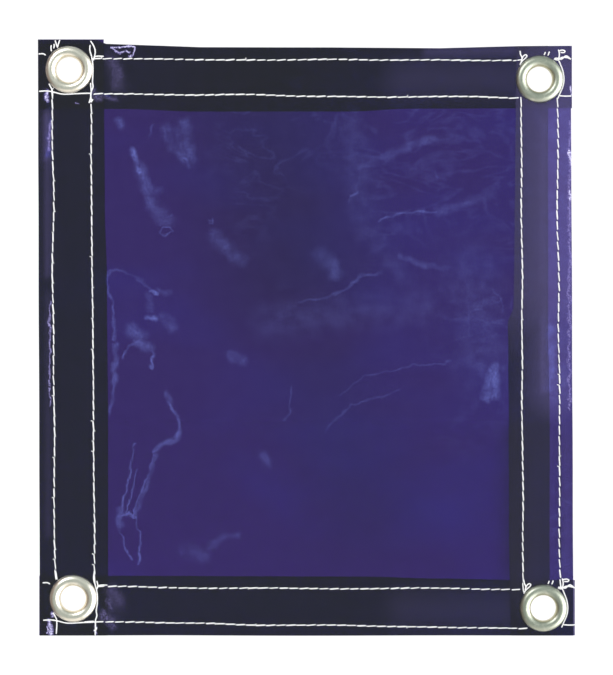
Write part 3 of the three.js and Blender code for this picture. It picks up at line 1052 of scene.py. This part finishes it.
def turned_ring(name, profile, hole, wall, around=72):
    """A round shell: a ring of points drawn out and scaled along its profile."""
    bpy.ops.object.select_all(action="DESELECT")
    radius, depth = profile[0]
    bpy.ops.mesh.primitive_circle_add(
        vertices=around, radius=radius, location=(hole.x, depth, hole.z),
        rotation=(math.pi / 2, 0, 0),
    )
    ring = bpy.context.object
    ring.name = name
    ring.data.name = name
    bpy.ops.object.transform_apply(location=True, rotation=True, scale=True)
    bpy.ops.object.mode_set(mode="EDIT")
    bpy.ops.mesh.select_all(action="SELECT")
    for next_radius, next_depth in profile[1:]:
        bpy.ops.mesh.extrude_edges_move(
            TRANSFORM_OT_translate={"value": (0, next_depth - depth, 0)}
        )
        share = next_radius / radius
        bpy.ops.transform.resize(
            value=(share, 1, share), center_override=(hole.x, next_depth, hole.z)
        )
        radius, depth = next_radius, next_depth
    bpy.ops.mesh.select_all(action="SELECT")
    bpy.ops.mesh.remove_doubles(threshold=1e-7)
    bpy.ops.mesh.normals_make_consistent(inside=False)
    bpy.ops.object.mode_set(mode="OBJECT")
    if wall:
        solidify = ring.modifiers.new("wall", "SOLIDIFY")
        solidify.thickness = wall
        solidify.offset = -1
        bpy.ops.object.modifier_apply(modifier=solidify.name)
    bpy.ops.object.shade_smooth_by_angle(angle=math.radians(40))
    return ring


def mark_barrel(piece, hole, bore):
    """Marks how far inside the barrel each point lies, for the material."""
    shoulder = 1.2 * MM
    marks = piece.data.attributes.new("barrel", "FLOAT", "POINT")
    for v, mark in zip(piece.data.vertices, marks.data):
        radius = math.hypot(v.co.x - hole.x, v.co.z - hole.z)
        mark.value = 1 - smooth_step(bore, bore + shoulder, radius)


# ---- Properties


class CurtainFilm(bpy.types.PropertyGroup):
    wave_height: bpy.props.FloatProperty(
        name="Wave Height", description="How far the hanging film waves off its flat plane",
        default=1.5 * MM, min=0, unit="LENGTH",
    )
    lip_width: bpy.props.FloatProperty(
        name="Lip Width", description="Width of the right edge that curls back",
        default=2 * MM, min=0.5 * MM, unit="LENGTH",
    )
    lip_height: bpy.props.FloatProperty(
        name="Lip Height", description="How far the right edge curls back",
        default=0.25 * MM, min=0, unit="LENGTH",
    )
    mesh_step: bpy.props.FloatProperty(
        name="Mesh Step", description="Distance between points in the film's mesh",
        default=2 * MM, min=0.5 * MM, unit="LENGTH",
    )
    violet_dye: bpy.props.FloatVectorProperty(
        name="Violet Dye", description="Light that one ply passes in its violet bands",
        subtype="COLOR", default=linear("#260B5B")[:3], min=0, max=1,
    )
    blue_dye: bpy.props.FloatVectorProperty(
        name="Blue Dye", description="Light that one ply passes in its bluer bands",
        subtype="COLOR", default=linear("#251A78")[:3], min=0, max=1,
    )
    # The painted light along the strips' outer edges and the faint pale patches on the sheet take
    # this colour.
    haze_colour: bpy.props.FloatVectorProperty(
        name="Haze Colour", description="Colour of the haze on rubbed film",
        subtype="COLOR", default=linear("#AE9EF9")[:3], min=0, max=1,
    )
    # The scuffs and the painted glints and highlights along the edges take this colour.
    scuff_colour: bpy.props.FloatVectorProperty(
        name="Scuff Colour", description="Colour of film scuffed white",
        subtype="COLOR", default=linear("#D6D3F0")[:3], min=0, max=1,
    )
    # The creases are painted pale with this colour: painted highlights.
    crease_tint: bpy.props.FloatVectorProperty(
        name="Crease Tint", description="Light that the film passes where it is creased white",
        subtype="COLOR", default=linear("#6A72C8")[:3], min=0, max=1,
    )


class CurtainSeams(bpy.types.PropertyGroup):
    stitch_pitch: bpy.props.FloatProperty(
        name="Stitch Pitch", description="Distance from one needle hole to the next",
        default=5.08 * MM, min=1 * MM, unit="LENGTH",
    )
    stitch_gap: bpy.props.FloatProperty(
        name="Stitch Gap", description="Bare film between two stitches",
        default=0.5 * MM, min=0, unit="LENGTH",
    )
    tight_gap: bpy.props.FloatProperty(
        name="Tight Gap", description="Bare film between two stitches in a row drawn up tight",
        default=0.2 * MM, min=0, unit="LENGTH",
    )
    stitch_tilt: bpy.props.FloatProperty(
        name="Stitch Tilt", description="How far a stitch's ends lie to either side of the seam",
        default=0.35 * MM, min=0, unit="LENGTH",
    )
    wander: bpy.props.FloatProperty(
        name="Wander", description="How far a seam strays from a straight line",
        default=0.9 * MM, min=0, unit="LENGTH",
    )
    thread_colour: bpy.props.FloatVectorProperty(
        name="Thread Colour", description="Colour of the thread",
        subtype="COLOR", default=linear("#F8F8F8")[:3], min=0, max=1,
    )
    # Painted shade in the grooves between the thread's plies.
    groove_colour: bpy.props.FloatVectorProperty(
        name="Groove Colour", description="Colour between the thread's plies",
        subtype="COLOR", default=linear("#CFCFD3")[:3], min=0, max=1,
    )


class CurtainGrommets(bpy.types.PropertyGroup):
    nickel_colour: bpy.props.FloatVectorProperty(
        name="Nickel Colour", description="Colour of clean nickel plate",
        subtype="COLOR", default=linear("#EFE9DD")[:3], min=0, max=1,
    )
    # Tarnish, and the painted shade on the right-hand grommets, take this colour.
    tarnish_colour: bpy.props.FloatVectorProperty(
        name="Tarnish Colour", description="Colour of dulled nickel plate",
        subtype="COLOR", default=linear("#B2B7A9")[:3], min=0, max=1,
    )
    brass_colour: bpy.props.FloatVectorProperty(
        name="Brass Colour", description="Colour of the brass under thin plate",
        subtype="COLOR", default=linear("#D9C68A")[:3], min=0, max=1,
    )


class CurtainStage(bpy.types.PropertyGroup):
    camera_distance: bpy.props.FloatProperty(
        name="Camera Distance", description="Distance from the camera to the panel",
        default=1.5, min=0.3, unit="LENGTH",
    )
    view_height: bpy.props.FloatProperty(
        name="View Height", description="Height of the view at the panel",
        default=337.5 * MM, min=0.05, unit="LENGTH",
    )
    floor_drop: bpy.props.FloatProperty(
        name="Floor Drop", description="Distance from the panel's lower edge down to the floor",
        default=60 * MM, min=0, unit="LENGTH",
    )


# ---- Operators


class CURTAIN_OT_sheet(bpy.types.Operator):
    """Hang the sheet of film"""

    bl_idname = "curtain.sheet"
    bl_label = "Film Sheet"

    def execute(self, context):
        film_ply("film_sheet", "curtain_sheet", context.scene.curtain_film.mesh_step)
        return {"FINISHED"}


class CURTAIN_OT_hem_strips(bpy.types.Operator):
    """Lay a hem strip along each side"""

    bl_idname = "curtain.hem_strips"
    bl_label = "Hem Strips"

    def execute(self, context):
        for side in SIDES:
            step = context.scene.curtain_film.mesh_step
            film_ply(f"hem_film_{side}", f"hem_strip_{side}", step)
        return {"FINISHED"}


class CURTAIN_OT_needle_threads(bpy.types.Operator):
    """Sew the front of each seam, with the loose ends at its corners"""

    bl_idname = "curtain.needle_threads"
    bl_label = "Needle Threads"

    def execute(self, context):
        for side in SIDES:
            for row in ROWS:
                seam_piece(side, row, "needle", -1)
        return {"FINISHED"}


class CURTAIN_OT_bobbin_threads(bpy.types.Operator):
    """Sew the back of each seam"""

    bl_idname = "curtain.bobbin_threads"
    bl_label = "Bobbin Threads"

    def execute(self, context):
        for side in SIDES:
            for row in ROWS:
                seam_piece(side, row, "bobbin", 1)
        return {"FINISHED"}


class CURTAIN_OT_eyelets(bpy.types.Operator):
    """Set a domed eyelet in each corner"""

    bl_idname = "curtain.eyelets"
    bl_label = "Eyelets"

    def execute(self, context):
        wall = 0.5 * MM
        rise = -FLANGE_LOW.y - HEM_FACE
        curl_level = WASHER_HIGH.y
        curl_rim = 9.2 * MM
        profile = arch(FLANGE_RADIUS, BORE_RADIUS, rise, HEM_FACE, -1, steps=22)
        curl = arch(
            curl_rim, BORE_RADIUS, FLANGE_HIGH.y - curl_level, curl_level, 1, steps=14
        )
        profile += curl[::-1]
        for corner, hole in HOLES.items():
            eyelet = turned_ring(f"eyelet_{corner}", profile, hole, wall)
            mark_barrel(eyelet, hole, BORE_RADIUS)
            finish_piece(
                eyelet, material_for(dulled_and_shaded_nickel_plate), "nickel", f"grommet_eyelet_{corner}"
            )
        return {"FINISHED"}


class CURTAIN_OT_washers(bpy.types.Operator):
    """Put a washer under each eyelet's curled end"""

    bl_idname = "curtain.washers"
    bl_label = "Washers"

    def execute(self, context):
        bore = 7.15 * MM
        flat = 9.6 * MM
        edge = 0.15 * MM
        near, far = WASHER_LOW.y, WASHER_HIGH.y
        profile = [
            (bore, near), (WASHER_RADIUS - edge, near), (WASHER_RADIUS, near + edge),
            (WASHER_RADIUS, far - 2 * edge), (WASHER_RADIUS - edge, far - edge / 2),
            (WASHER_RADIUS - 3 * edge, far), (flat, far), (bore, far - 2 * edge), (bore, near),
        ]
        for corner, hole in HOLES.items():
            washer = turned_ring(f"washer_{corner}", profile, hole, 0)
            mark_barrel(washer, hole, bore)
            finish_piece(
                washer, material_for(dulled_and_shaded_nickel_plate), "nickel", f"grommet_washer_{corner}"
            )
        return {"FINISHED"}


class CURTAIN_OT_stage(bpy.types.Operator):
    """Set the floor, the light and the camera"""

    bl_idname = "curtain.stage"
    bl_label = "Stage"

    def execute(self, context):
        scene = context.scene
        stage = scene.curtain_stage
        low, high = CAD_BOX
        centre = (low + high) / 2
        scene.view_settings.view_transform = "Standard"

        bpy.ops.object.select_all(action="DESELECT")
        bpy.ops.mesh.primitive_plane_add(size=12, location=(0, 0, low.z - stage.floor_drop))
        floor = context.object
        floor.name = "floor"
        material, tree, shader = new_material("matt_white_floor")
        shader.inputs["Base Color"].default_value = linear("#FEFEFE")
        shader.inputs["Roughness"].default_value = 0.9
        floor.data.materials.append(material)
        floor.visible_glossy = False

        bpy.ops.object.camera_add(
            location=(centre.x, centre.y - stage.camera_distance, centre.z),
            rotation=(math.pi / 2, 0, 0),
        )
        camera = context.object
        camera.data.sensor_width = 36
        camera.data.lens = 36 * stage.camera_distance / stage.view_height
        camera.data.clip_start = 0.05
        camera.data.clip_end = 50
        scene.camera = camera

        bpy.ops.object.light_add(
            type="AREA", location=(centre.x - 0.7, centre.y - 1.1, centre.z + 0.9)
        )
        key = context.object
        key.data.size = 0.7
        key.data.energy = 9
        key.rotation_euler = (centre - key.location).to_track_quat("-Z", "Y").to_euler()
        light_world(scene)
        return {"FINISHED"}


def light_world(scene):
    """Even white light all round. What the film and metal mirror is a studio: a dim room on the
    camera's side, a large white panel at the right, a white table below and a white backdrop."""
    world = bpy.data.worlds.new("white_studio")
    scene.world = world
    world.use_nodes = True
    tree = world.node_tree
    tree.nodes.clear()
    way = add_node(tree, "ShaderNodeTexCoord").outputs["Generated"]
    room = linear("#B4BEBA")[:3]
    for aim, low, high, glow in (
        # The darker left of the room, the table, the backdrop and the panel.
        (Vector((-1, 0.2, 0.1)), 0.25, 0.70, (0.27, 0.22, 0.19)),
        (Vector((0.2, -0.2, -1)), 0.55, 0.90, (1.15, 1.12, 1.05)),
        (Vector((0, 1, 0)), 0.05, 0.40, (BACKGROUND_WHITE,) * 3),
        (Vector((0.88, -0.44, -0.2)), 0.70, 0.88, (4.2, 4.2, 4.1)),
    ):
        facing = add_node(
            tree, "ShaderNodeVectorMath", {0: way, 1: aim.normalized()}, operation="DOT_PRODUCT"
        )
        share = add_node(
            tree, "ShaderNodeMapRange", {"Value": facing, "From Min": low, "From Max": high},
            interpolation_type="SMOOTHSTEP",
        )
        room = add_node(
            tree, "ShaderNodeMix", {"Factor": share, "A": room, "B": glow}, data_type="VECTOR"
        )
    studio = add_node(tree, "ShaderNodeBackground", {"Color": room})
    white = add_node(
        tree, "ShaderNodeBackground", {"Color": (1, 1, 1, 1), "Strength": BACKGROUND_WHITE}
    )
    ray = add_node(tree, "ShaderNodeLightPath").outputs
    not_diffuse = add_node(
        tree, "ShaderNodeMath", {0: 1, 1: ray["Is Diffuse Ray"]}, operation="SUBTRACT"
    )
    mirrored = add_node(
        tree, "ShaderNodeMath", {0: ray["Is Reflection Ray"], 1: not_diffuse},
        operation="MULTIPLY",
    )
    mix = add_node(tree, "ShaderNodeMixShader", {0: mirrored, 1: white, 2: studio})
    add_node(tree, "ShaderNodeOutputWorld", {"Surface": mix})


class CURTAIN_PT_panel(bpy.types.Panel):
    """Lists the pieces of the curtain panel"""

    bl_label = "Welding Curtain"
    bl_idname = "CURTAIN_PT_panel"
    bl_space_type = "VIEW_3D"
    bl_region_type = "UI"
    bl_category = "Curtain"

    def draw(self, context):
        for operator in OPERATORS:
            self.layout.operator(operator.bl_idname)


OPERATORS = (
    CURTAIN_OT_sheet,
    CURTAIN_OT_hem_strips,
    CURTAIN_OT_needle_threads,
    CURTAIN_OT_bobbin_threads,
    CURTAIN_OT_eyelets,
    CURTAIN_OT_washers,
    CURTAIN_OT_stage,
)
PROPERTIES = {
    "curtain_film": CurtainFilm,
    "curtain_seams": CurtainSeams,
    "curtain_grommets": CurtainGrommets,
    "curtain_stage": CurtainStage,
}


def register():
    for made in (*PROPERTIES.values(), *OPERATORS, CURTAIN_PT_panel):
        bpy.utils.register_class(made)
    for name, group in PROPERTIES.items():
        setattr(bpy.types.Scene, name, bpy.props.PointerProperty(type=group))


def unregister():
    for name in PROPERTIES:
        delattr(bpy.types.Scene, name)
    for made in reversed((*PROPERTIES.values(), *OPERATORS, CURTAIN_PT_panel)):
        bpy.utils.unregister_class(made)


def main():
    register()
    for operator in OPERATORS:
        group, name = operator.bl_idname.split(".")
        getattr(getattr(bpy.ops, group), name)()


if __name__ == "__main__":
    main()
